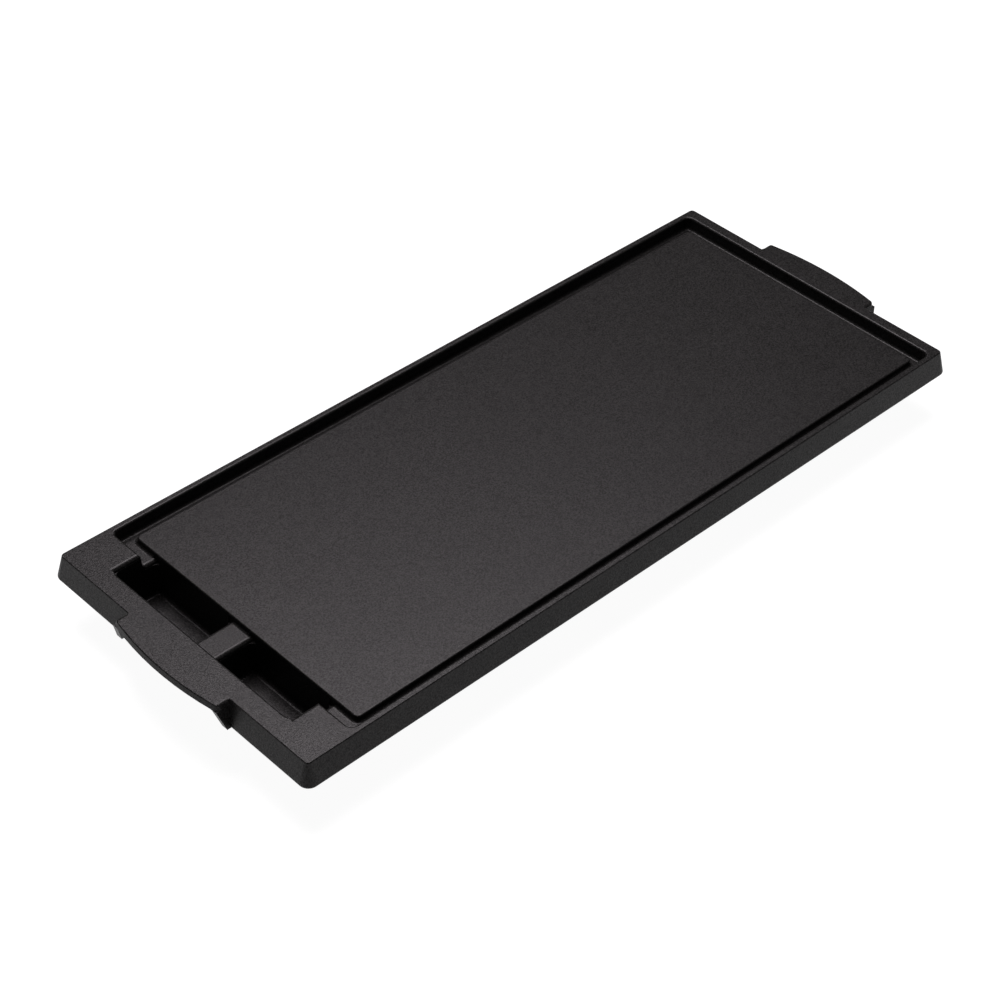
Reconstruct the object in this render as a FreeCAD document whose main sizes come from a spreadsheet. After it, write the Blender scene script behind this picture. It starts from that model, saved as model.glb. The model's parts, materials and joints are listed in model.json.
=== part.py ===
import FreeCAD, Part
import math
import os
import re
import Sketcher
from FreeCAD import Placement, Rotation, Vector

# Electric griddle. Origin on the table under the middle of the casting's box.
# +Z is up, +X runs along the griddle from the grease wells to the inlet, and Y runs across it.

os.makedirs("parts", exist_ok=True)
doc = FreeCAD.newDocument("electric_griddle")

SIZES = {
    # casting: rim and skirt
    "rim_top": 42.0,
    "rim_length": 500.0,
    "rim_width": 205.5,
    "rim_corner": 2.5,
    "skirt_height": 15.6,
    "skirt_flare": 4.0,
    "skirt_wall": 4.0,
    "skirt_round": 1.5,
    "rim_side": 4.0,
    "rim_far": 8.0,
    "rim_round": 0.8,
    "edge_round": 1.0,
    "inner_round": 1.4,
    "wall_draft": 3.0,
    # casting: channel and cooking surface
    "deck_length": 31.5,
    "channel_depth": 8.75,
    "channel_side": 6.75,
    "channel_far": 6.4,
    "channel_strip": 10.2,
    "channel_round": 2.0,
    "recess_corner": 4.0,
    "plateau_drop": 4.8,
    "plateau_corner": 3.0,
    "plateau_thick": 5.2,
    "channel_thick": 3.5,
    # casting: grease wells
    "well_front": 13.0,
    "well_side": 73.5,
    "well_depth": 31.0,
    "well_corner": 4.2,
    "well_round": 2.4,
    "well_wall": 3.0,
    "well_gap": 0.02,
    "hot_corner": 6.0,
    "well_lip": 2.4,
    "bridge_half": 8.4,
    # casting: lip handles
    "lip_half": 42.3,
    "lip_end": 8.6,
    "lip_middle": 12.4,
    "lip_thick": 3.4,
    "lip_corner": 2.5,
    "gusset_thick": 4.2,
    "gusset_tip": 5.6,
    # heating element
    "sheath_radius": 3.3,
    "sheath_height": 28.0,
    "leg_spacing": 50.0,
    "turn_left": -158.0,
    "turn_right": 145.0,
    "cross_leg": 190.0,
    "cross_turn": 22.0,
    "saddle_width": 11.0,
    "groove_gap": 0.05,
    "seat_root": 1.0,
    # inlet
    "pin_height": 19.5,
    "pin_radius": 2.5,
    "pin_root": 2.0,
    "pin_spacing": 20.0,
    "pin_end": 255.0,
    "sheath_end": 242.0,
    "seal_length": 3.0,
    "sleeve_radius": 3.5,
    "sleeve_bore": 2.8,
    "sleeve_start": 182.0,
    "bracket_front": 237.0,
    "bracket_thick": 1.5,
    "shroud_end": 258.0,
    "shroud_width": 44.0,
    "shroud_wall": 2.0,
    "shroud_height": 20.0,
    "shroud_corner": 3.0,
    "lug_width": 8.0,
    "lug_gap": 2.0,
    "spring_width": 6.0,
    "spring_sheet": 0.8,
    "spring_bend": 5.0,
    "spring_drop": 2.0,
    "spring_inset": 3.0,
    # element straps
    "strap_pitch": 65.0,
    "strap_sheet": 1.2,
    "strap_width": 12.0,
    "strap_end": 7.5,
    "strap_boss": 5.0,
    "cross_strap_y": -10.0,
    "cross_boss": 11.5,
    # lower stack
    "post_pitch": 130.0,
    "post_shoulder": 22.0,
    "post_wide": 6.0,
    "post_narrow": 4.0,
    "probe_boss_length": 27.0,
    "probe_boss_half": 6.0,
    "probe_boss_web": 1.0,
    "hot_low": -198.0,
    "hot_high": 228.0,
    "hot_half": 85.5,
    "cover_floor": 12.0,
    "cover_sheet": 1.0,
    "cover_low": -199.0,
    "cover_high": 235.0,
    "cover_half": 92.0,
    "cover_flange": 7.0,
    "cover_corner": 12.0,
    "cover_round": 2.5,
    "cover_draft": 8.0,
    "reflector_sheet": 0.5,
    "reflector_rim": 2.0,
    "tray_low": -187.0,
    "tray_high": 204.0,
    "tray_half": 80.0,
    "tray_gap": 1.0,
    "cut_out_gap": 2.0,
    "hole_gap": 0.25,
    "thread_gap": 0.05,
    "screw_radius": 2.0,
    "head_radius": 3.6,
    "head_height": 2.4,
    "head_taper": 0.85,
    "socket_radius": 1.6,
    "socket_depth": 0.6,
    "small_screw": 0.75,
    "strap_screw_length": 7.0,
    "cover_screw_length": 12.0,
    "cover_thread_depth": 14.0,
    "bracket_screw_length": 8.0,
    "foot_screw_length": 10.0,
    "shroud_screw_inset": 2.9,
    "foot_left": -174.0,
    "foot_right": 212.0,
    "foot_side": 70.0,
    "foot_radius": 11.0,
    "foot_draft": 1.2,
    "foot_web": 5.0,
    "head_gap": 1.0,
    "nut_radius": 3.9,
    "nut_height": 3.2,
}

# Lengths that follow from the sizes above. Each is a cell that holds a formula.
DERIVED = {
    "half_length": "rim_length / 2",
    "half_width": "rim_width / 2",
    "skirt_bottom": "rim_top - skirt_height",
    "flare_angle": "atan(skirt_flare / skirt_height)",
    "recess_low": "deck_length - half_length",
    "recess_high": "half_length - rim_far",
    "recess_half": "half_width - rim_side",
    "channel_floor": "rim_top - channel_depth",
    "plateau_top": "rim_top - plateau_drop",
    "plateau_low": "recess_low + channel_strip",
    "plateau_high": "recess_high - channel_far",
    "plateau_half": "recess_half - channel_side",
    "ceiling": "channel_floor - channel_thick",
    "hot_ceiling": "plateau_top - plateau_thick",
    "well_low": "well_front - half_length",
    "well_high": "plateau_low + plateau_drop * tan(wall_draft) - well_gap",
    "outer_leg": "1.5 * leg_spacing",
    "inner_leg": "0.5 * leg_spacing",
    "turn_radius": "0.5 * leg_spacing",
    "near_pin": "outer_leg - pin_spacing",
    "inlet_middle": "outer_leg - pin_spacing / 2",
    "joggle_start": "cross_leg + cross_turn",
    "joggle_drop": "sheath_height - pin_height",
    "post_side": "leg_spacing",
    "post_end": "cover_floor + cover_sheet",
}

sheet = doc.addObject("Spreadsheet::Sheet", "sizes")
for row, (alias, content) in enumerate([*SIZES.items(), *DERIVED.items()], start=1):
    sheet.set(f"A{row}", alias)
    sheet.set(f"B{row}", f"={content}" if alias in DERIVED else str(content))
    sheet.setAlias(f"B{row}", alias)
ALIASES = {*SIZES, *DERIVED}
doc.recompute()


def bound(expression):
    """The expression with every alias written as a cell of the sheet."""
    return re.sub(r"[a-z_]+", lambda word: f"sizes.{word[0]}" if word[0] in ALIASES else word[0], expression)


def number(expression):
    """The expression's present value."""
    value = sheet.evalExpression(bound(expression))
    return float(getattr(value, "Value", value))


def new_body(name):
    body = doc.addObject("PartDesign::Body", name)
    body.Label = name
    return body


def new_sketch(body, name, role="XY_Plane", offset="0"):
    """An empty sketch on one of the body's own planes, moved along the plane's normal."""
    sketch = body.newObject("Sketcher::SketchObject", name)
    plane = next(feature for feature in body.Origin.OriginFeatures if feature.Role == role)
    sketch.AttachmentSupport = [(plane, "")]
    sketch.MapMode = "FlatFace"
    sketch.setExpression("AttachmentOffset.Base.z", bound(offset))
    return sketch


def drive(sketch, constraint, expression):
    """Add a dimension and bind it to the sheet."""
    index = sketch.addConstraint(constraint)
    sketch.setExpression(f"Constraints[{index}]", bound(expression))


def hold(sketch, edge, end, corner):
    """Fix one end of an edge at a corner's place."""
    for kind, expression in zip(("DistanceX", "DistanceY"), corner):
        drive(sketch, Sketcher.Constraint(kind, -1, 1, edge, end, number(expression)), expression)


def arc_through(start, finish, radius):
    """The shorter arc from start to finish: it turns left where the radius is positive."""
    chord = finish - start
    rise = math.sqrt(max(radius**2 - (chord.Length / 2) ** 2, 0.0))
    left = Vector(-chord.y, chord.x, 0).normalize()
    centre = (start + finish) / 2 + left * math.copysign(rise, radius)
    first, last = (start, finish) if radius > 0 else (finish, start)
    angles = [math.atan2(point.y - centre.y, point.x - centre.x) for point in (first, last)]
    if angles[1] < angles[0]:
        angles[1] += 2 * math.pi
    return Part.ArcOfCircle(Part.Circle(centre, Vector(0, 0, 1), abs(radius)), *angles)


def size_arc(sketch, edge, start, finish, radius):
    """Fix an arc between fixed ends: by its radius, or for a half turn by its centre, level with the ends."""
    for axis, kind in enumerate(("DistanceX", "DistanceY")):
        across = 1 - axis
        chord = abs(number(start[across]) - number(finish[across]))
        if start[axis] == finish[axis] and abs(chord - 2 * abs(number(radius))) < 1e-6:
            drive(sketch, Sketcher.Constraint(kind, -1, 1, edge, 3, number(start[axis])), start[axis])
            return
    radius = radius.lstrip("- ")
    drive(sketch, Sketcher.Constraint("Radius", edge, number(radius)), radius)


def outline(sketch, corners, arcs=None, closed=True):
    """A line through the corners. arcs gives the radius of the arc that leaves a corner."""
    arcs = arcs or {}
    points = [Vector(number(across), number(up), 0) for across, up in corners]
    ends = []
    for place, start in enumerate(points if closed else points[:-1]):
        finish = points[(place + 1) % len(points)]
        if place in arcs:
            radius = number(arcs[place])
            edge = sketch.addGeometry(arc_through(start, finish, radius), False)
            ends.append((edge, 1, 2) if radius > 0 else (edge, 2, 1))
        else:
            edge = sketch.addGeometry(Part.LineSegment(start, finish), False)
            ends.append((edge, 1, 2))
    for place, (edge, start, _) in enumerate(ends):
        if closed or place:
            before, _, finish = ends[place - 1]
            sketch.addConstraint(Sketcher.Constraint("Coincident", before, finish, edge, start))
        hold(sketch, edge, start, corners[place])
        if place in arcs:
            size_arc(sketch, edge, corners[place], corners[(place + 1) % len(corners)], arcs[place])
    if not closed:
        edge, _, finish = ends[-1]
        hold(sketch, edge, finish, corners[-1])


def rounded_rectangle(sketch, low_x, high_x, low_y, high_y, radius, high_radius=None):
    """high_radius is the radius of the two corners at high_x, where it differs from the others."""
    radius, high_radius = f"({radius})", f"({high_radius or radius})"
    corners = [
        (f"{low_x} + {radius}", low_y),
        (f"{high_x} - {high_radius}", low_y),
        (high_x, f"{low_y} + {high_radius}"),
        (high_x, f"{high_y} - {high_radius}"),
        (f"{high_x} - {high_radius}", high_y),
        (f"{low_x} + {radius}", high_y),
        (low_x, f"{high_y} - {radius}"),
        (low_x, f"{low_y} + {radius}"),
    ]
    outline(sketch, corners, {1: high_radius, 3: high_radius, 5: radius, 7: radius})


def rectangle(sketch, low_x, high_x, low_y, high_y):
    outline(sketch, [(low_x, low_y), (high_x, low_y), (high_x, high_y), (low_x, high_y)])


def circle(sketch, across, up, radius):
    centre = Vector(number(across), number(up), 0)
    edge = sketch.addGeometry(Part.Circle(centre, Vector(0, 0, 1), number(radius)), False)
    hold(sketch, edge, 3, (across, up))
    drive(sketch, Sketcher.Constraint("Radius", edge, number(radius)), radius)


def raise_or_cut(kind, body, sketch, name, length, down, taper):
    feature = body.newObject(f"PartDesign::{kind}", name)
    feature.Profile = sketch
    feature.Type = "Length"
    feature.setExpression("Length", bound(length))
    feature.Reversed = down if kind == "Pad" else not down
    if taper:
        feature.setExpression("TaperAngle", bound(taper))
    return feature


def pad(body, sketch, name, length, down=False, taper=None):
    """Material along the sketch's normal, or against it where down is true."""
    return raise_or_cut("Pad", body, sketch, name, length, down, taper)


def pocket(body, sketch, name, length, down=False, taper=None):
    """A cut along the sketch's normal, or against it where down is true. It has to remove something."""
    doc.recompute()
    before = body.Shape.Volume
    feature = raise_or_cut("Pocket", body, sketch, name, length, down, taper)
    doc.recompute()
    if body.Shape.Volume > before - 1.0:
        raise ValueError(f"{name} cuts nothing")
    return feature


def round_edges(body, name, radius, chosen):
    """A fillet on the edges of the body so far for which chosen(edge) is true."""
    doc.recompute()
    base = body.Tip
    names = [f"Edge{place}" for place, edge in enumerate(base.Shape.Edges, 1) if chosen(edge)]
    fillet = body.newObject("PartDesign::Fillet", name)
    fillet.Base = (base, names)
    fillet.setExpression("Radius", bound(radius))
    doc.recompute()
    return fillet


def level(edge, height):
    """True where the whole edge lies at this height."""
    box = edge.BoundBox
    return abs(box.ZMin - height) < 0.01 and abs(box.ZMax - height) < 0.01


def within(edge, low_x, high_x, half_y):
    """True where the whole edge lies between two values of X and within half_y of the middle."""
    box = edge.BoundBox
    return low_x < box.XMin and box.XMax < high_x and -half_y < box.YMin and box.YMax < half_y


def plate_outside(body):
    """The flared skirt with its flat top, the lip handles at both ends and the gussets under them."""
    top = new_sketch(body, "rim_outline", offset="rim_top")
    rounded_rectangle(top, "-half_length", "half_length", "-half_width", "half_width", "rim_corner")
    pad(body, top, "skirt", "skirt_height", down=True, taper="flare_angle")
    bottom = number("skirt_bottom")
    round_edges(body, "skirt_edge", "skirt_round", lambda edge: level(edge, bottom))

    lips = new_sketch(body, "lip_outlines", offset="rim_top")
    straight = "(lip_half - lip_corner)"
    rise = "(lip_middle - lip_end)"
    bulge = f"({straight} * {straight} + {rise} * {rise}) / (2 * {rise})"
    for side in ("-", ""):
        root = f"{side}(half_length - rim_side)"
        turn = f"{side}(half_length + lip_end - lip_corner)"
        tip = f"{side}(half_length + lip_end)"
        corners = [
            (root, "-lip_half"),
            (root, "lip_half"),
            (turn, "lip_half"),
            (tip, straight),
            (tip, f"-{straight}"),
            (turn, "-lip_half"),
        ]
        sign = "" if side else "-"
        arcs = {2: f"{sign}lip_corner", 3: f"{sign}{bulge}", 4: f"{sign}lip_corner"}
        outline(lips, corners, arcs)
    pad(body, lips, "handle_lips", "lip_thick", down=True, taper="flare_angle")
    top_level = number("rim_top")
    round_edges(body, "rim_edges", "rim_round", lambda edge: level(edge, top_level))
    for side_x in ("-", ""):
        for side_y in ("-", ""):
            gusset(body, side_x, side_y)


def gusset(body, side_x, side_y):
    """The web at one end of one lip. Its outer face leans outwards like the skirt, and its tip inwards."""
    name = f"gusset_{'low' if side_x else 'high'}_{'low' if side_y else 'high'}"
    sections = []
    heights = {"top": ("lip_thick", "lip_end"), "foot": ("skirt_height", "gusset_tip - skirt_flare")}
    for place, (depth, reach) in heights.items():
        section = new_sketch(body, f"{name}_{place}", offset=f"rim_top - {depth}")
        lean = f"{depth} * skirt_flare / skirt_height"
        rectangle(
            section,
            f"{side_x}(half_length - edge_round)",
            f"{side_x}(half_length + {reach} + {lean})",
            f"{side_y}(lip_half + {lean} - gusset_thick)",
            f"{side_y}(lip_half + {lean})",
        )
        sections.append(section)
    doc.recompute()
    loft = body.newObject("PartDesign::AdditiveLoft", name)
    loft.Profile = sections[0]
    loft.Sections = [sections[1]]
    loft.Ruled = True
    doc.recompute()


def plate_underside(body):
    """The hollow inside the skirt, and the walls of the two wells that hang in it."""
    inside_skirt = new_sketch(body, "hollow_outline", offset="skirt_bottom")
    reach = "skirt_flare - skirt_wall"
    rounded_rectangle(
        inside_skirt,
        f"-(half_length + {reach})",
        f"half_length + {reach}",
        f"-(half_width + {reach})",
        f"half_width + {reach}",
        "rim_corner",
    )
    pocket(body, inside_skirt, "hollow", "ceiling - skirt_bottom", taper="-flare_angle")

    boxes = new_sketch(body, "well_walls_outline", offset="channel_floor")
    low, high = "bridge_half - well_wall", "well_side + well_wall"
    for low_y, high_y in ((low, high), (f"-({high})", f"-({low})")):
        rounded_rectangle(
            boxes, "well_low - well_wall", "well_high + well_wall", low_y, high_y, "well_corner"
        )
    depth = "well_depth + well_wall - channel_depth"
    pad(body, boxes, "well_walls", depth, down=True, taper="-wall_draft")


def round_over(body, name, edge_y, height, span, outward):
    """Round the straight edges at +edge_y and -edge_y, at this height, over a span of X.

    outward is true where the metal is on the inner side of each edge, as on the bridge.
    """
    low_x, high_x = span
    profile = new_sketch(body, f"{name}_profile", role="YZ_Plane", offset=low_x)
    for side in ("", "-"):
        metal = "-" if outward else "+"
        air = "+" if outward else "-"
        corners = [
            (f"{side}({edge_y} {metal} well_lip)", height),
            (f"{side}({edge_y} {metal} well_lip)", f"{height} + channel_round"),
            (f"{side}({edge_y} {air} well_lip)", f"{height} + channel_round"),
            (f"{side}({edge_y} {air} well_lip)", f"{height} - well_lip"),
            (f"{side}{edge_y}", f"{height} - well_lip"),
        ]
        anticlockwise = outward == (side == "")
        outline(profile, corners, {4: "well_lip" if anticlockwise else "-well_lip"})
    pocket(body, profile, name, f"{high_x} - ({low_x})")


def plate_topside(body):
    """The recess, the cooking surface that stands in it, and the wells at its -X end."""
    floor_level = number("channel_floor")
    top_level = number("rim_top")
    slack = 1.5  # further than the draft moves any edge, and less than any two edges stand apart

    recess = new_sketch(body, "recess_outline", offset="rim_top")
    rounded_rectangle(
        recess, "recess_low", "recess_high", "-recess_half", "recess_half", "recess_corner"
    )
    pocket(body, recess, "recess", "channel_depth", down=True, taper="-wall_draft")
    round_edges(body, "recess_round", "channel_round", lambda edge: level(edge, floor_level))

    plateau = new_sketch(body, "plateau_outline", offset="plateau_top")
    rounded_rectangle(
        plateau, "plateau_low", "plateau_high", "-plateau_half", "plateau_half", "plateau_corner"
    )
    pad(body, plateau, "plateau", "plateau_top - channel_floor", down=True, taper="wall_draft")
    foot = [
        number("plateau_low") - slack,
        number("plateau_high") + slack,
        number("plateau_half") + slack,
    ]
    round_edges(
        body, "plateau_foot", "channel_round", lambda edge: level(edge, floor_level) and within(edge, *foot)
    )
    edge_level = number("plateau_top")
    round_edges(body, "plateau_edge", "edge_round", lambda edge: level(edge, edge_level))

    wells = new_sketch(body, "wells_outline", offset="rim_top")
    for low_y, high_y in (("bridge_half", "well_side"), ("-well_side", "-bridge_half")):
        rounded_rectangle(wells, "well_low", "well_high", low_y, high_y, "well_corner")
    pocket(body, wells, "wells", "well_depth", down=True, taper="-wall_draft")
    deep = number("rim_top - well_depth")
    round_edges(body, "well_floors", "well_round", lambda edge: level(edge, deep))

    gap = new_sketch(body, "bridge_outline", offset="rim_top")
    rectangle(gap, "well_low", "plateau_low - channel_strip / 2", "-well_side / 2", "well_side / 2")
    pocket(body, gap, "bridge_top", "channel_depth", down=True, taper="-wall_draft")

    inside = [number("well_low") - slack, number("recess_high") + slack, number("recess_half") + slack]
    round_edges(
        body, "inner_edges", "inner_round", lambda edge: level(edge, top_level) and within(edge, *inside)
    )
    round_over(body, "deck_ends", "well_side", "rim_top", ("well_low", "recess_low"), outward=False)

    lean = "channel_depth * tan(wall_draft)"
    bridge_edge = f"(bridge_half + {lean})"
    round_over(body, "bridge_edges", bridge_edge, "channel_floor", ("well_low", "well_high"), outward=True)
    strip_edge = f"(well_side - {lean})"
    strip = ("recess_low + channel_round", "well_high")
    round_over(body, "strip_lips", strip_edge, "channel_floor", strip, outward=False)
    lip_edge = "(lip_half + well_lip * skirt_flare / skirt_height)"
    near, far = "half_length + edge_round", "half_length + lip_middle"
    round_over(body, "low_lip_ends", lip_edge, "rim_top", (f"-({far})", f"-({near})"), outward=True)
    round_over(body, "high_lip_ends", lip_edge, "rim_top", (near, far), outward=True)


def element_path(sketch):
    """The element's centre line: four long legs, then a cross leg that brings the end back to the start."""
    corners = [
        ("joggle_start", "outer_leg"),
        ("turn_left", "outer_leg"),
        ("turn_left", "inner_leg"),
        ("turn_right", "inner_leg"),
        ("turn_right", "-inner_leg"),
        ("turn_left", "-inner_leg"),
        ("turn_left", "-outer_leg"),
        ("cross_leg - cross_turn", "-outer_leg"),
        ("cross_leg", "cross_turn - outer_leg"),
        ("cross_leg", "near_pin - cross_turn"),
        ("joggle_start", "near_pin"),
    ]
    turns = {1: "turn_radius", 3: "-turn_radius", 5: "turn_radius", 7: "cross_turn", 9: "-cross_turn"}
    outline(sketch, corners, turns, closed=False)


def sweep(kind, body, profile, spine, name):
    feature = body.newObject(f"PartDesign::{kind}Pipe", name)
    feature.Profile = profile
    feature.Spine = (spine, [])
    return feature


def plate_element_seat(body):
    """The thicker saddle cast along the element, with the half-round groove that the element lies in."""
    hot = new_sketch(body, "hot_ceiling_outline", offset="ceiling")
    rounded_rectangle(hot, "hot_low", "hot_high", "-hot_half", "hot_half", "hot_corner")
    pocket(body, hot, "hot_ceiling", "hot_ceiling - ceiling")

    spine = new_sketch(body, "seat_path", offset="sheath_height")
    element_path(spine)
    section = new_sketch(body, "seat_section", role="YZ_Plane", offset="joggle_start")
    rectangle(
        section,
        "outer_leg - saddle_width / 2",
        "outer_leg + saddle_width / 2",
        "sheath_height",
        "hot_ceiling + seat_root",
    )
    sweep("Additive", body, section, spine, "seat")
    groove = new_sketch(body, "groove_section", role="YZ_Plane", offset="joggle_start")
    circle(groove, "outer_leg", "sheath_height", "sheath_radius + groove_gap")
    doc.recompute()
    sweep("Subtractive", body, groove, spine, "groove")


def grid(columns, rows):
    """Every pairing of a column's X with a row's Y."""
    return [(across, up) for across in columns for up in rows]


POSTS = grid(("-post_pitch", "0", "post_pitch"), ("-post_side", "post_side"))
STRAPS = grid(("-strap_pitch", "strap_pitch"), ("-post_side", "post_side"))
FEET = grid(("foot_left", "foot_right"), ("-foot_side", "foot_side"))
CROSS_SCREW = ("cross_leg - cross_boss", "cross_strap_y")


def studs(body, name, places, radius, low):
    """Round bosses from the hot ceiling down to the height called low."""
    sketch = new_sketch(body, f"{name}_outline", offset="hot_ceiling")
    for place in places:
        circle(sketch, *place, radius)
    pad(body, sketch, name, f"hot_ceiling - ({low})", down=True)


def blind_holes(body, name, places, radius, low, depth):
    """Round holes that go up from the height called low."""
    sketch = new_sketch(body, f"{name}_outline", offset=low)
    for place in places:
        circle(sketch, *place, radius)
    pocket(body, sketch, name, depth)


def plate_bosses(body):
    """Posts for the cover and the reflector, bosses for the straps, and the inlet's boss, lugs and notch."""
    studs(body, "post_shoulders", POSTS, "post_wide", "post_shoulder")
    studs(body, "posts", POSTS, "post_narrow", "post_end")
    blind_holes(body, "post_threads", POSTS, "screw_radius + thread_gap", "post_end", "cover_thread_depth")
    strap_screws = [*STRAPS, CROSS_SCREW]
    studs(body, "strap_bosses", strap_screws, "strap_boss", "sheath_height")
    depth = "strap_screw_length"
    blind_holes(body, "strap_threads", strap_screws, "screw_radius + thread_gap", "sheath_height", depth)

    probe = new_sketch(body, "probe_boss_outline", offset="hot_ceiling")
    low_x = "sleeve_start - sleeve_radius"
    rectangle(
        probe,
        low_x,
        f"{low_x} + probe_boss_length",
        "inlet_middle - probe_boss_half",
        "inlet_middle + probe_boss_half",
    )
    depth = "hot_ceiling - pin_height + sleeve_radius + probe_boss_web"
    pad(body, probe, "probe_boss", depth, down=True)
    bore = new_sketch(body, "probe_bore_outline", role="YZ_Plane", offset="sleeve_start")
    circle(bore, "inlet_middle", "pin_height", "sleeve_radius + thread_gap")
    pocket(body, bore, "probe_bore", "probe_boss_length")

    lugs = new_sketch(body, "lug_outlines", offset="ceiling")
    near = "bracket_front + bracket_thick"
    for side in ("-", "+"):
        inner = f"inlet_middle {side} (shroud_width / 2 + lug_gap)"
        outer = f"inlet_middle {side} (shroud_width / 2 + lug_gap + lug_width)"
        rectangle(lugs, near, f"{near} + lug_width", inner, outer)
    pad(body, lugs, "lugs", "ceiling - pin_height + lug_width / 2", down=True)
    threads = new_sketch(body, "lug_threads_outline", role="YZ_Plane", offset=near)
    for place in lug_screw_places():
        circle(threads, *place, "screw_radius + thread_gap")
    pocket(body, threads, "lug_threads", "lug_width")

    notch = new_sketch(body, "notch_outline", role="YZ_Plane", offset=f"{near} + lug_width")
    rectangle(
        notch,
        "inlet_middle - shroud_width / 2 - hole_gap",
        "inlet_middle + shroud_width / 2 + hole_gap",
        "pin_height",
        "ceiling",
    )
    pocket(body, notch, "notch", "2 * lug_width")


def lug_screw_places():
    """Y and Z of the bracket's screws."""
    reach = "(shroud_width / 2 + lug_gap + lug_width / 2)"
    return [(f"inlet_middle {side} {reach}", "pin_height") for side in ("-", "+")]


def griddle_plate():
    body = new_body("griddle_plate")
    for stage in (plate_outside, plate_underside, plate_topside, plate_element_seat, plate_bosses):
        stage(body)
        doc.recompute()
    return body


def heating_element():
    """The sheathed element. Both cold ends step down in an S-bend to the pins' height."""
    body = new_body("heating_element")
    spine = new_sketch(body, "element_path", offset="sheath_height")
    element_path(spine)
    section = new_sketch(body, "element_section", role="YZ_Plane", offset="joggle_start")
    circle(section, "outer_leg", "sheath_height", "sheath_radius")
    sweep("Additive", body, section, spine, "legs")
    half_step = "(joggle_drop * sqrt(3) / 2)"
    for name, side in (("live_end", "outer_leg"), ("neutral_end", "near_pin")):
        path = new_sketch(body, f"{name}_path", role="XZ_Plane", offset=f"-{side}")
        corners = [
            ("joggle_start", "sheath_height"),
            (f"joggle_start + {half_step}", "sheath_height - joggle_drop / 2"),
            (f"joggle_start + 2 * {half_step}", "pin_height"),
            ("sheath_end", "pin_height"),
        ]
        outline(path, corners, {0: "-joggle_drop", 1: "joggle_drop"}, closed=False)
        start = new_sketch(body, f"{name}_section", role="YZ_Plane", offset="joggle_start")
        circle(start, side, "sheath_height", "sheath_radius")
        sweep("Additive", body, start, path, name)
    return body


def put(feature, across, along, up):
    """Bind a feature's place to the sheet."""
    for axis, expression in zip("xyz", (across, along, up)):
        feature.setExpression(f"Placement.Base.{axis}", bound(expression))


TOWARDS_X = Rotation(Vector(0, 1, 0), 90)
TOWARDS_MINUS_X = Rotation(Vector(0, 1, 0), -90)
UP = Rotation()


def cylinder(name, radius, height, place, turn=UP):
    shape = doc.addObject("Part::Cylinder", name)
    shape.setExpression("Radius", bound(radius))
    shape.setExpression("Height", bound(height))
    shape.Placement = Placement(Vector(), turn)
    put(shape, *place)
    return shape


def cone(name, low_radius, high_radius, height, place, turn=UP):
    shape = doc.addObject("Part::Cone", name)
    shape.setExpression("Radius1", bound(low_radius))
    shape.setExpression("Radius2", bound(high_radius))
    shape.setExpression("Height", bound(height))
    shape.Placement = Placement(Vector(), turn)
    put(shape, *place)
    return shape


def prism(name, radius, height, place, turn=UP):
    """A hexagonal bar."""
    shape = doc.addObject("Part::Prism", name)
    shape.Polygon = 6
    shape.setExpression("Circumradius", bound(radius))
    shape.setExpression("Height", bound(height))
    shape.Placement = Placement(Vector(), turn)
    put(shape, *place)
    return shape


def combine(kind, name, base, tool):
    """Part::Fuse or Part::Cut of two features."""
    shape = doc.addObject(f"Part::{kind}", name)
    shape.Base = base
    shape.Tool = tool
    return shape


def group(name, members):
    """Several separate solids in one node."""
    compound = doc.addObject("Part::Compound", name)
    compound.Links = members
    compound.Label = name
    return compound


def contact_pin(name, side):
    """A contact pin: a thin root through the bead, the contact itself, and a tapered tip."""
    root_place = ("sheath_end", side, "pin_height")
    bar_place = ("sheath_end + seal_length", side, "pin_height")
    tip_place = ("pin_end - pin_radius / 2", side, "pin_height")
    shank = "pin_end - pin_radius / 2 - sheath_end - seal_length"
    root = cylinder(f"{name}_root", "pin_root", "seal_length", root_place, TOWARDS_X)
    bar = cylinder(f"{name}_bar", "pin_radius", shank, bar_place, TOWARDS_X)
    tip = cone(f"{name}_tip", "pin_radius", "pin_radius / 2", "pin_radius / 2", tip_place, TOWARDS_X)
    pin = combine("Fuse", name, combine("Fuse", f"{name}_stem", root, bar), tip)
    pin.Label = name
    return pin


def end_seal(name, side):
    """The ceramic bead that closes the sheath round its pin."""
    place = ("sheath_end", side, "pin_height")
    bead = cylinder(f"{name}_bead", "sheath_radius", "seal_length", place, TOWARDS_X)
    hole = cylinder(f"{name}_hole", "pin_root", "seal_length", place, TOWARDS_X)
    seal = combine("Cut", name, bead, hole)
    seal.Label = name
    return seal


def probe_sleeve():
    """The tube, closed at its inner end, that the control's probe slides into."""
    place = ("sleeve_start", "inlet_middle", "pin_height")
    inner = ("sleeve_start + sleeve_radius - sleeve_bore", "inlet_middle", "pin_height")
    tube = cylinder("sleeve_tube", "sleeve_radius", "pin_end - sleeve_start", place, TOWARDS_X)
    bore = cylinder("sleeve_hollow", "sleeve_bore", "pin_end - sleeve_start", inner, TOWARDS_X)
    sleeve = combine("Cut", "probe_sleeve", tube, bore)
    sleeve.Label = "probe_sleeve"
    return sleeve


def inlet_holes(sketch, gap):
    """Holes for the two sheaths and the sleeve between them."""
    circle(sketch, "outer_leg", "pin_height", f"sheath_radius + {gap}")
    circle(sketch, "near_pin", "pin_height", f"sheath_radius + {gap}")
    circle(sketch, "inlet_middle", "pin_height", f"sleeve_radius + {gap}")


def shroud_screw_places():
    """Y and Z of the shroud's screws, beside its side walls."""
    reach = "(shroud_width / 2 - shroud_wall - shroud_screw_inset)"
    return [(f"inlet_middle {side} {reach}", "pin_height") for side in ("-", "+")]


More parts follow.
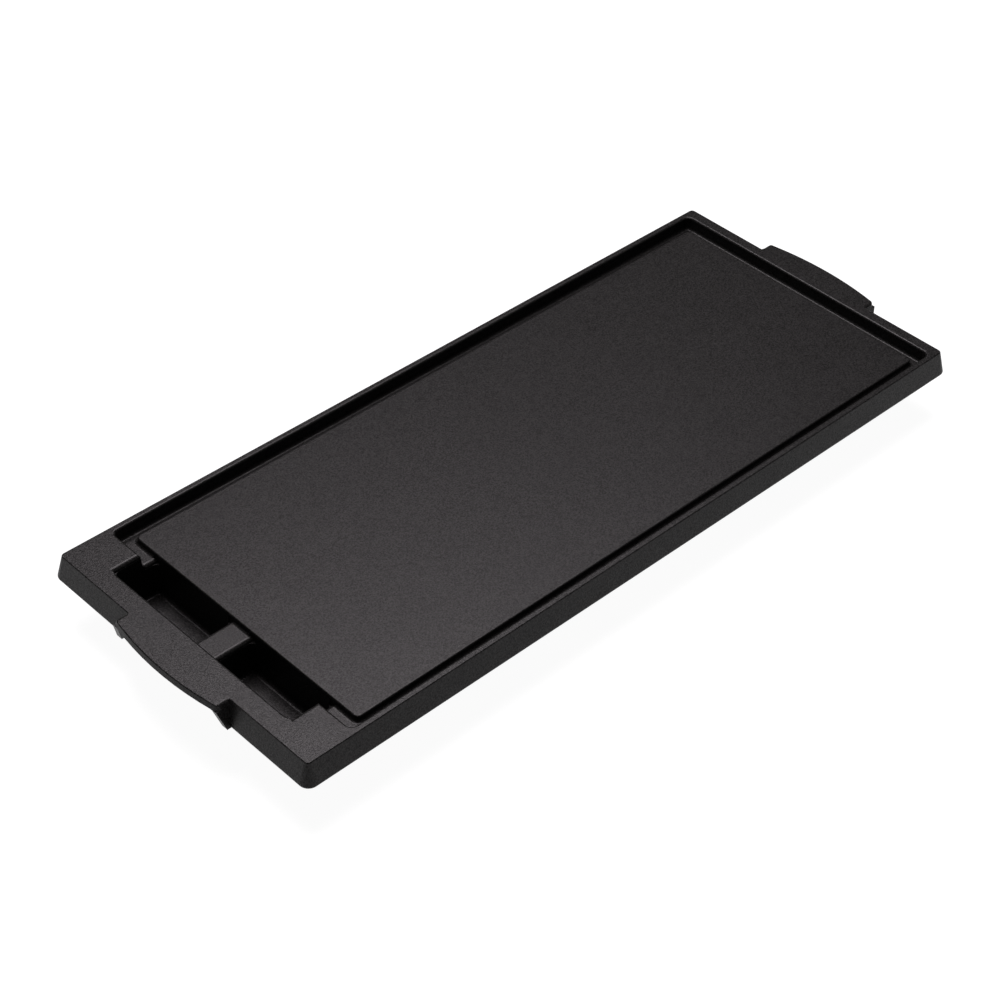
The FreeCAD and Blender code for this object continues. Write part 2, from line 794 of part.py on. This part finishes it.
def inlet_bracket():
    """The steel plate across the inlet that the lugs, the shroud, the sheaths and the sleeve are held by."""
    body = new_body("inlet_bracket")
    face = new_sketch(body, "bracket_outline", role="YZ_Plane", offset="bracket_front")
    reach = "shroud_width / 2 + lug_gap + lug_width"
    half = "shroud_height / 2"
    rounded_rectangle(
        face,
        f"inlet_middle - ({reach})",
        f"inlet_middle + {reach}",
        f"pin_height - {half}",
        f"pin_height + {half} - edge_round",
        "shroud_corner",
    )
    pad(body, face, "bracket_plate", "bracket_thick")
    holes = new_sketch(body, "bracket_holes_outline", role="YZ_Plane", offset="bracket_front")
    inlet_holes(holes, "thread_gap")
    for place in lug_screw_places():
        circle(holes, *place, "screw_radius + hole_gap")
    for place in shroud_screw_places():
        circle(holes, *place, "screw_radius * small_screw + thread_gap")
    pocket(body, holes, "bracket_holes", "bracket_thick")
    return body


def inlet_shroud():
    """The moulded cup round the pins, open towards +X, with a rounded rim."""
    body = new_body("inlet_shroud")
    near = "bracket_front + bracket_thick"
    outer = new_sketch(body, "shroud_outline", role="YZ_Plane", offset=near)
    half_width_y, half_tall = "shroud_width / 2", "shroud_height / 2"
    low, high = "inlet_middle", "pin_height"
    rounded_rectangle(
        outer,
        f"{low} - {half_width_y}",
        f"{low} + {half_width_y}",
        f"{high} - {half_tall}",
        f"{high} + {half_tall}",
        "shroud_corner",
    )
    pad(body, outer, "shroud_block", f"shroud_end - ({near})")
    cup = new_sketch(body, "cup_outline", role="YZ_Plane", offset=f"{near} + shroud_wall")
    rounded_rectangle(
        cup,
        f"{low} - ({half_width_y} - shroud_wall)",
        f"{low} + {half_width_y} - shroud_wall",
        f"{high} - ({half_tall} - shroud_wall)",
        f"{high} + {half_tall} - shroud_wall",
        "shroud_corner - edge_round",
    )
    pocket(body, cup, "cup", f"shroud_end - ({near})")
    holes = new_sketch(body, "shroud_holes_outline", role="YZ_Plane", offset=near)
    inlet_holes(holes, "hole_gap / 2")
    for place in shroud_screw_places():
        circle(holes, *place, "screw_radius * small_screw + hole_gap")
    pocket(body, holes, "shroud_holes", "shroud_wall")
    mouth = number("shroud_end")
    round_edges(
        body, "mouth_edges", "shroud_wall / 4", lambda edge: abs(edge.BoundBox.XMin - mouth) < 0.01
    )
    return body


def earth_spring():
    """The blade over the sleeve, welded to the bracket, with a bowed end that presses on the control."""
    body = new_body("earth_spring")
    middle = "inlet_middle"
    blade = new_sketch(body, "spring_profile", role="XZ_Plane", offset=f"-({middle} + spring_width / 2)")
    root = "bracket_front + bracket_thick"
    top = "pin_height + shroud_height / 2 - shroud_wall - spring_sheet"
    knee = "shroud_end - spring_inset - spring_bend"
    tip = "shroud_end - spring_inset"
    corners = [
        (root, top),
        (knee, top),
        (tip, f"{top} - spring_drop"),
        (tip, f"{top} - spring_drop - spring_sheet"),
        (knee, f"{top} - spring_sheet"),
        (root, f"{top} - spring_sheet"),
    ]
    outline(blade, corners)
    pad(body, blade, "spring_blade", "spring_width")
    return body


def spring_slot(shroud):
    """The slot in the shroud's back wall that the earth spring comes through."""
    near = "bracket_front + bracket_thick"
    slot = new_sketch(shroud, "slot_outline", role="YZ_Plane", offset=near)
    top = "pin_height + shroud_height / 2 - shroud_wall - spring_sheet"
    rectangle(
        slot,
        "inlet_middle - spring_width / 2 - thread_gap",
        "inlet_middle + spring_width / 2 + thread_gap",
        f"{top} - spring_sheet - thread_gap",
        f"{top} + thread_gap",
    )
    pocket(shroud, slot, "spring_slot", "shroud_wall")


def strap_profile(sketch, humps, low, high):
    """A sheet strip along the saddles' faces, with a half-round hump below each leg that it crosses."""
    inner = "(sheath_radius + groove_gap)"
    outer = f"({inner} + strap_sheet)"
    foot = f"sqrt({outer} * {outer} - strap_sheet * strap_sheet)"
    top, bottom = "sheath_height", "sheath_height - strap_sheet"
    corners, arcs = [(low, top)], {}
    for hump in humps:
        arcs[len(corners)] = inner
        corners += [(f"{hump} - {inner}", top), (f"{hump} + {inner}", top)]
    corners += [(high, top), (high, bottom)]
    for hump in reversed(humps):
        arcs[len(corners)] = f"-{outer}"
        corners += [(f"{hump} + {foot}", bottom), (f"{hump} - {foot}", bottom)]
    corners.append((low, bottom))
    outline(sketch, corners, arcs)


def element_strap(name, across, side):
    """A strap over one pair of legs, held by one screw between them."""
    body = new_body(name)
    strip = new_sketch(body, f"{name}_profile", role="YZ_Plane", offset=f"{across} - strap_width / 2")
    legs = ("inner_leg", "outer_leg") if side > 0 else ("-outer_leg", "-inner_leg")
    strap_profile(strip, legs, f"{legs[0]} - strap_end", f"{legs[1]} + strap_end")
    pad(body, strip, f"{name}_strip", "strap_width")
    hole = new_sketch(body, f"{name}_hole_outline", offset="sheath_height")
    circle(hole, across, "post_side" if side > 0 else "-post_side", "screw_radius + hole_gap")
    pocket(body, hole, f"{name}_hole", "strap_sheet", down=True)
    return body


def cross_strap():
    """The shorter strap over the cross leg near the inlet."""
    body = new_body("cross_strap")
    offset = "-(cross_strap_y + strap_width / 2)"
    strip = new_sketch(body, "cross_profile", role="XZ_Plane", offset=offset)
    strap_profile(strip, ["cross_leg"], "cross_leg - cross_boss - strap_boss", "cross_leg + strap_end")
    pad(body, strip, "cross_strip", "strap_width")
    hole = new_sketch(body, "cross_hole_outline", offset="sheath_height")
    circle(hole, *CROSS_SCREW, "screw_radius + hole_gap")
    pocket(body, hole, "cross_hole", "strap_sheet", down=True)
    return body


def screw(name, place, shank, turn, scale="1"):
    """A socket-head screw that enters along the turned Z axis. place is where its head meets the work."""
    start = Vector(*(number(value) for value in place))
    away = turn.multVec(Vector(0, 0, -1))
    head_height = number(f"head_height * {scale}")
    flat = start + away * head_height
    flat_place = [str(round(value, 6)) for value in flat]
    bar = cylinder(f"{name}_shank", f"screw_radius * {scale}", shank, place, turn)
    head = cone(
        f"{name}_head",
        f"head_radius * {scale} * head_taper",
        f"head_radius * {scale}",
        f"head_height * {scale}",
        flat_place,
        turn,
    )
    deep = f"head_height * {scale} * socket_depth"
    socket = prism(f"{name}_socket", f"socket_radius * {scale}", deep, flat_place, turn)
    return combine("Cut", name, combine("Fuse", f"{name}_solid", bar, head), socket)


def screws(name, places, shank, turn=UP, scale="1"):
    return group(
        name, [screw(f"{name}_{count}", place, shank, turn, scale) for count, place in enumerate(places, 1)]
    )


def heat_reflector():
    """A thin tray on the posts' shoulders that turns the heat back up, cut away round the probe's boss."""
    body = new_body("heat_reflector")
    low = "post_shoulder - reflector_sheet"
    tray = new_sketch(body, "tray_outline", offset=low)
    rounded_rectangle(tray, "tray_low", "tray_high", "-tray_half", "tray_half", "cover_corner")
    pad(body, tray, "tray", "reflector_sheet + reflector_rim")
    inside = new_sketch(body, "tray_inside_outline", offset="post_shoulder")
    rounded_rectangle(
        inside,
        "tray_low + reflector_sheet",
        "tray_high - reflector_sheet",
        "-tray_half + reflector_sheet",
        "tray_half - reflector_sheet",
        "cover_corner - reflector_sheet",
    )
    pocket(body, inside, "tray_inside", "reflector_rim")
    stack_holes(body, low, "reflector_sheet")
    return body


def stack_holes(body, low, depth, feet=()):
    """Holes for the posts, and for the foot nuts where feet is given, and the cut-out at the probe's boss."""
    holes = new_sketch(body, f"{body.Name}_holes_outline", offset=low)
    for place in POSTS:
        circle(holes, *place, "post_narrow + hole_gap")
    for place in feet:
        circle(holes, *place, "nut_radius + tray_gap")
    pocket(body, holes, f"{body.Name}_holes", depth)
    cut = new_sketch(body, f"{body.Name}_cut_outline", offset=low)
    rectangle(
        cut,
        "sleeve_start - sleeve_radius - cut_out_gap",
        "tray_high + tray_gap",
        "inlet_middle - probe_boss_half - tray_gap",
        "inlet_middle + probe_boss_half + tray_gap",
    )
    pocket(body, cut, f"{body.Name}_cut", f"{depth} + reflector_rim")


def insulation_mat():
    """The mineral-fibre mat that fills the room between the reflector and the cover."""
    body = new_body("insulation_mat")
    mat = new_sketch(body, "mat_outline", offset="post_end")
    rounded_rectangle(
        mat,
        "tray_low + tray_gap",
        "tray_high - tray_gap",
        "tray_gap - tray_half",
        "tray_half - tray_gap",
        "cover_corner",
    )
    height = "post_shoulder - reflector_sheet - post_end"
    pad(body, mat, "mat", height)
    stack_holes(body, "post_end", height, FEET)
    return body


def bottom_cover():
    """The pressed pan under the heater. Its flange lies against the casting round the hot zone."""
    body = new_body("bottom_cover")
    flange = new_sketch(body, "flange_outline", offset="ceiling")
    rounded_rectangle(
        flange, "cover_low", "cover_high", "-cover_half", "cover_half", "cover_corner + cover_flange"
    )
    pad(body, flange, "flange", "cover_sheet", down=True)

    def pan_outline(name, inset):
        sketch = new_sketch(body, name, offset="ceiling")
        edge = f"(cover_flange + {inset})"
        rounded_rectangle(
            sketch,
            f"cover_low + {edge}",
            f"cover_high - {edge}",
            f"{edge} - cover_half",
            f"cover_half - {edge}",
            f"(cover_corner - {inset})",
        )
        return sketch

    pan = pan_outline("pan_outline", "0")
    pad(body, pan, "pan", "ceiling - cover_floor", down=True, taper="-cover_draft")
    bottom = number("cover_floor")
    round_edges(body, "pan_edge", "cover_round", lambda edge: level(edge, bottom))
    hollow = pan_outline("pan_hollow_outline", "cover_sheet")
    pocket(body, hollow, "pan_hollow", "ceiling - post_end", down=True, taper="-cover_draft")
    floor = number("post_end")
    round_edges(body, "floor_edge", "cover_round - cover_sheet", lambda edge: level(edge, floor))

    holes = new_sketch(body, "cover_holes_outline", offset="cover_floor")
    for place in [*POSTS, *FEET]:
        circle(holes, *place, "screw_radius + hole_gap")
    pocket(body, holes, "cover_holes", "cover_sheet")
    ends = new_sketch(body, "cover_inlet_outline", role="YZ_Plane", offset="tray_high + cover_corner")
    inlet_holes(ends, "hole_gap")
    pocket(body, ends, "cover_inlet", "cover_high - tray_high - cover_corner")
    return body


def foot(name, across, side):
    """A tapered rubber foot with a deep counterbore for its screw."""
    body = new_body(name)
    disc = new_sketch(body, f"{name}_outline", offset="cover_floor")
    circle(disc, across, side, "foot_radius")
    pad(body, disc, f"{name}_block", "cover_floor", down=True, taper="-atan(foot_draft / cover_floor)")
    round_edges(body, f"{name}_edge", "foot_draft", lambda edge: level(edge, 0))
    counterbore = new_sketch(body, f"{name}_counterbore_outline")
    circle(counterbore, across, side, "head_radius + head_gap")
    pocket(body, counterbore, f"{name}_counterbore", "cover_floor - foot_web")
    hole = new_sketch(body, f"{name}_hole_outline")
    circle(hole, across, side, "screw_radius + thread_gap")
    pocket(body, hole, f"{name}_hole", "cover_floor")
    return body


def foot_nuts():
    """The hexagon nuts of the feet, on the cover's floor."""
    nuts = []
    for count, place in enumerate(FEET, 1):
        spot = (*place, "post_end")
        block = prism(f"nut_{count}_block", "nut_radius", "nut_height", spot)
        bore = cylinder(f"nut_{count}_bore", "screw_radius + thread_gap", "nut_height", spot)
        nuts.append(combine("Cut", f"nut_{count}", block, bore))
    return group("foot_nuts", nuts)


def assembly():
    """Every sub-part, each a node of its own."""
    parts = [griddle_plate(), heating_element()]
    for name, side in (("live", "outer_leg"), ("neutral", "near_pin")):
        parts += [contact_pin(f"{name}_pin", side), end_seal(f"{name}_end_seal", side)]
    parts += [probe_sleeve(), inlet_bracket()]
    shroud = inlet_shroud()
    spring_slot(shroud)
    parts += [shroud, earth_spring()]
    for count, (across, side) in enumerate(STRAPS, 1):
        parts.append(element_strap(f"element_strap_{count}", across, number(side)))
    parts.append(cross_strap())
    under_strap = "sheath_height - strap_sheet"
    strap_places = [(*place, under_strap) for place in [*STRAPS, CROSS_SCREW]]
    parts.append(screws("strap_screws", strap_places, "strap_screw_length"))
    parts += [heat_reflector(), insulation_mat(), bottom_cover()]
    cover_places = [(*place, "cover_floor") for place in POSTS]
    parts.append(screws("cover_screws", cover_places, "cover_screw_length"))
    bracket_places = [("bracket_front", *place) for place in lug_screw_places()]
    parts.append(screws("bracket_screws", bracket_places, "bracket_screw_length", TOWARDS_X))
    cup_floor = "bracket_front + bracket_thick + shroud_wall"
    shroud_places = [(cup_floor, *place) for place in shroud_screw_places()]
    shank = "bracket_thick + shroud_wall"
    parts.append(screws("shroud_screws", shroud_places, shank, TOWARDS_MINUS_X, scale="small_screw"))
    for count, place in enumerate(FEET, 1):
        parts.append(foot(f"foot_{count}", *place))
    foot_places = [(*place, "cover_floor - foot_web") for place in FEET]
    parts += [screws("foot_screws", foot_places, "foot_screw_length"), foot_nuts()]
    return parts


def export(parts):
    """Write each sub-part to its own file, once nothing in the document has failed."""
    doc.recompute()
    failed = [thing.Name for thing in doc.Objects if {"Invalid", "Error"} & set(thing.State)]
    if failed:
        raise ValueError(f"failed features: {failed}")
    for part in parts:
        shape = part.Shape
        if shape.isNull() or not shape.isValid() or not shape.Solids:
            raise ValueError(f"{part.Label} has no valid solid")
        shape.exportStep(f"parts/{part.Label}.step")


export(assembly())
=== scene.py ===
import json
import math

import bpy
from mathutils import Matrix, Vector

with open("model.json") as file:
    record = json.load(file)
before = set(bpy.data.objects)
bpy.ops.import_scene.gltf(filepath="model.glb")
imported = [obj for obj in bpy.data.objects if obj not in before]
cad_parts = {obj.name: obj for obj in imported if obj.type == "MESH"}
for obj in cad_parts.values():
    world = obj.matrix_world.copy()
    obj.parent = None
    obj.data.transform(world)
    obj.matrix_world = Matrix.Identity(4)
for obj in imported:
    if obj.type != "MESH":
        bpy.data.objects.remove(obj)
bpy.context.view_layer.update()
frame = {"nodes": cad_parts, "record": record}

nodes = frame["nodes"]


def set_inputs(node, **values):
    """Set a node's input sockets. An underscore stands for a space in a socket's name."""
    for name, value in values.items():
        node.inputs[name.replace("_", " ")].default_value = value


class Shader:
    """A node material, built up from a Principled shader."""

    def __init__(self, name, roughness, metallic=0.0, specular=0.5):
        self.material = bpy.data.materials.new(name)
        self.material.use_nodes = True
        self.tree = self.material.node_tree
        self.tree.nodes.clear()
        self.out = self.add("ShaderNodeOutputMaterial")
        self.shader = self.add("ShaderNodeBsdfPrincipled")
        set_inputs(self.shader, Roughness=roughness, Metallic=metallic)
        self.shader.inputs["Specular IOR Level"].default_value = specular
        self.link(self.shader.outputs["BSDF"], self.out.inputs["Surface"])
        self.place = self.add("ShaderNodeNewGeometry").outputs["Position"]

    def add(self, kind):
        """A new node of this kind."""
        return self.tree.nodes.new(kind)

    def link(self, source, target):
        self.tree.links.new(source, target)

    def noise(self, size, detail=2.0, roughness=0.5):
        """Noise whose features are about size metres across."""
        node = self.add("ShaderNodeTexNoise")
        set_inputs(node, Scale=1.0 / size, Detail=detail, Roughness=roughness)
        self.link(self.place, node.inputs["Vector"])
        return node.outputs["Fac"]

    def ramp(self, source, stops):
        """Colours between stops, each a place from 0 to 1 and an RGB colour."""
        node = self.add("ShaderNodeValToRGB")
        while len(node.color_ramp.elements) < len(stops):
            node.color_ramp.elements.new(0.5)
        for element, (place, colour) in zip(node.color_ramp.elements, stops):
            element.position = place
            element.color = (*colour, 1.0)
        self.link(source, node.inputs["Fac"])
        return node.outputs["Color"]

    def map(self, source, low, high, to_low, to_high):
        """source's range from low to high, stretched to run from to_low to to_high."""
        node = self.add("ShaderNodeMapRange")
        node.inputs["From Min"].default_value = low
        node.inputs["From Max"].default_value = high
        node.inputs["To Min"].default_value = to_low
        node.inputs["To Max"].default_value = to_high
        self.link(source, node.inputs["Value"])
        return node.outputs["Result"]

    def bump(self, source, distance):
        """Surface relief that is distance metres deep."""
        node = self.add("ShaderNodeBump")
        set_inputs(node, Strength=1.0, Distance=distance)
        self.link(source, node.inputs["Height"])
        self.link(node.outputs["Normal"], self.shader.inputs["Normal"])
        return node.outputs["Normal"]

    def colour(self, source):
        self.link(source, self.shader.inputs["Base Color"])

    def roughness(self, source):
        self.link(source, self.shader.inputs["Roughness"])


def grey(value, warm=0.0):
    """A grey, with this share more red and less blue."""
    return (value * (1 + warm), value, value * (1 - warm))


COATING_SPECKLE = 0.0009
COATING_RELIEF = 0.00012
COATING_WARMTH = 0.03
FAINT_MAUVE = (1.0, 0.95, 0.98, 1.0)


def coating():
    """Black non-stick coating on cast aluminium: satin, with a fine speckle and a thin gloss on top."""
    shader = Shader("nonstick_casting", 0.34, specular=0.09)
    inputs = shader.shader.inputs
    set_inputs(shader.shader, Coat_Weight=0.1, Coat_Roughness=0.17)
    inputs["Specular Tint"].default_value = FAINT_MAUVE

    speckle = shader.noise(COATING_SPECKLE, detail=3, roughness=0.7)
    dark = grey(0.001, COATING_WARMTH)
    light = grey(0.013, COATING_WARMTH)
    shader.colour(shader.ramp(speckle, [(0.35, dark), (0.65, light)]))
    shader.link(shader.map(speckle, 0.38, 0.62, 0.058, 0.122), inputs["Specular IOR Level"])
    shader.link(shader.bump(speckle, COATING_RELIEF), inputs["Coat Normal"])
    shader.roughness(shader.map(shader.noise(0.02), 0.3, 0.7, 0.36, 0.42))
    return shader.material


def metal(name, colour, roughness):
    """Bare metal with soft patches of shade and a fine grain."""
    shader = Shader(name, roughness, metallic=1.0)
    patches = shader.noise(0.008, detail=3)
    dark = tuple(0.85 * c for c in colour)
    shader.colour(shader.ramp(patches, [(0.35, dark), (0.65, colour)]))
    smooth, rough = roughness - 0.05, roughness + 0.08
    shader.roughness(shader.map(shader.noise(0.003), 0.3, 0.7, smooth, rough))
    shader.bump(shader.noise(0.0008), 0.00004)
    return shader.material


def dull(name, colour, roughness, grain):
    """A material that isn't metal, with a grain of this size in metres."""
    shader = Shader(name, roughness)
    fine = shader.noise(grain, detail=3)
    dark = tuple(0.75 * c for c in colour)
    shader.colour(shader.ramp(fine, [(0.3, dark), (0.7, colour)]))
    shader.bump(fine, grain / 8)
    return shader.material


MATERIALS = {
    "nonstick_casting": coating(),
    "sheath": metal("sheath", (0.32, 0.30, 0.27), 0.45),
    "contact": metal("contact", (0.75, 0.72, 0.62), 0.25),
    "bead": dull("bead", (0.86, 0.83, 0.76), 0.7, 0.0006),
    "bracket_steel": metal("bracket_steel", (0.5, 0.5, 0.49), 0.35),
    "shroud": dull("shroud", (0.03, 0.03, 0.03), 0.5, 0.0008),
    "strap_steel": metal("strap_steel", (0.55, 0.54, 0.52), 0.35),
    "zinc": metal("zinc", (0.6, 0.6, 0.58), 0.3),
    "reflector": metal("reflector", (0.8, 0.8, 0.8), 0.2),
    "mineral_fibre": dull("mineral_fibre", (0.72, 0.69, 0.6), 0.95, 0.002),
    "cover_enamel": dull("cover_enamel", (0.035, 0.035, 0.037), 0.4, 0.0007),
    "foot_rubber": dull("foot_rubber", (0.03, 0.03, 0.03), 0.8, 0.0006),
}

for part in frame["record"]["subparts"]:
    mesh = nodes[part["node"]].data
    mesh.materials.clear()
    mesh.materials.append(MATERIALS[part["material_slot"]])


CAMERA_PLACE = (-0.72635, -0.70728, 0.87748)
CAMERA_TURN = (49.15097, -1.43796, -43.69467)
CAMERA_LENS = 82.887
SENSOR_WIDTH = 36.0

FLOOR_SIZE = 12.0
FLOOR_DROP = 0.0002  # keeps the floor's face off the feet's faces
FLOOR_GLOW = 0.95  # a lit table, so that shadows nearly vanish

LIGHT_DIRECTION = (0.17, 0.31, 0.93)
LIGHT_DISTANCE = 2.4
LIGHT_SIZE = 1.6
LIGHT_POWER = 101
LIGHT_COLOUR = (1.0, 0.95, 0.975)
WORLD_STRENGTH = 0.08


def add_camera():
    """The camera at the photograph's viewpoint. Its turn is in degrees."""
    data = bpy.data.cameras.new("camera")
    data.lens = CAMERA_LENS
    data.sensor_width = SENSOR_WIDTH
    data.clip_start = 0.01
    camera = bpy.data.objects.new("camera", data)
    camera.location = CAMERA_PLACE
    camera.rotation_euler = [math.radians(angle) for angle in CAMERA_TURN]
    bpy.context.scene.collection.objects.link(camera)
    bpy.context.scene.camera = camera


def add_floor():
    """A plain pale table that glows a little."""
    bpy.ops.mesh.primitive_plane_add(size=FLOOR_SIZE)
    floor = bpy.context.object
    floor.name = "floor"
    floor.location.z = -FLOOR_DROP
    shader = Shader("floor", 0.9, specular=0.0)
    shader.colour(shader.ramp(shader.noise(0.2), [(0.3, grey(0.12)), (0.7, grey(0.14))]))
    shader.shader.inputs["Emission Color"].default_value = (1.0, 1.0, 1.0, 1.0)
    shader.shader.inputs["Emission Strength"].default_value = FLOOR_GLOW
    floor.data.materials.append(shader.material)


def add_light():
    """One large square softbox over the griddle's far side."""
    place = Vector(LIGHT_DIRECTION).normalized() * LIGHT_DISTANCE
    data = bpy.data.lights.new("key", "AREA")
    data.shape = "SQUARE"
    data.size = LIGHT_SIZE
    data.energy = LIGHT_POWER
    data.color = LIGHT_COLOUR
    light = bpy.data.objects.new("key", data)
    light.location = place
    light.rotation_euler = (-place).to_track_quat("-Z", "Y").to_euler()
    bpy.context.scene.collection.objects.link(light)


def add_world():
    """A faint even fill."""
    world = bpy.data.worlds.new("studio")
    world.use_nodes = True
    background = world.node_tree.nodes["Background"]
    set_inputs(background, Color=(1, 1, 1, 1), Strength=WORLD_STRENGTH)
    bpy.context.scene.world = world


add_camera()
add_floor()
add_light()
add_world()
bpy.context.scene.view_settings.view_transform = "Standard"
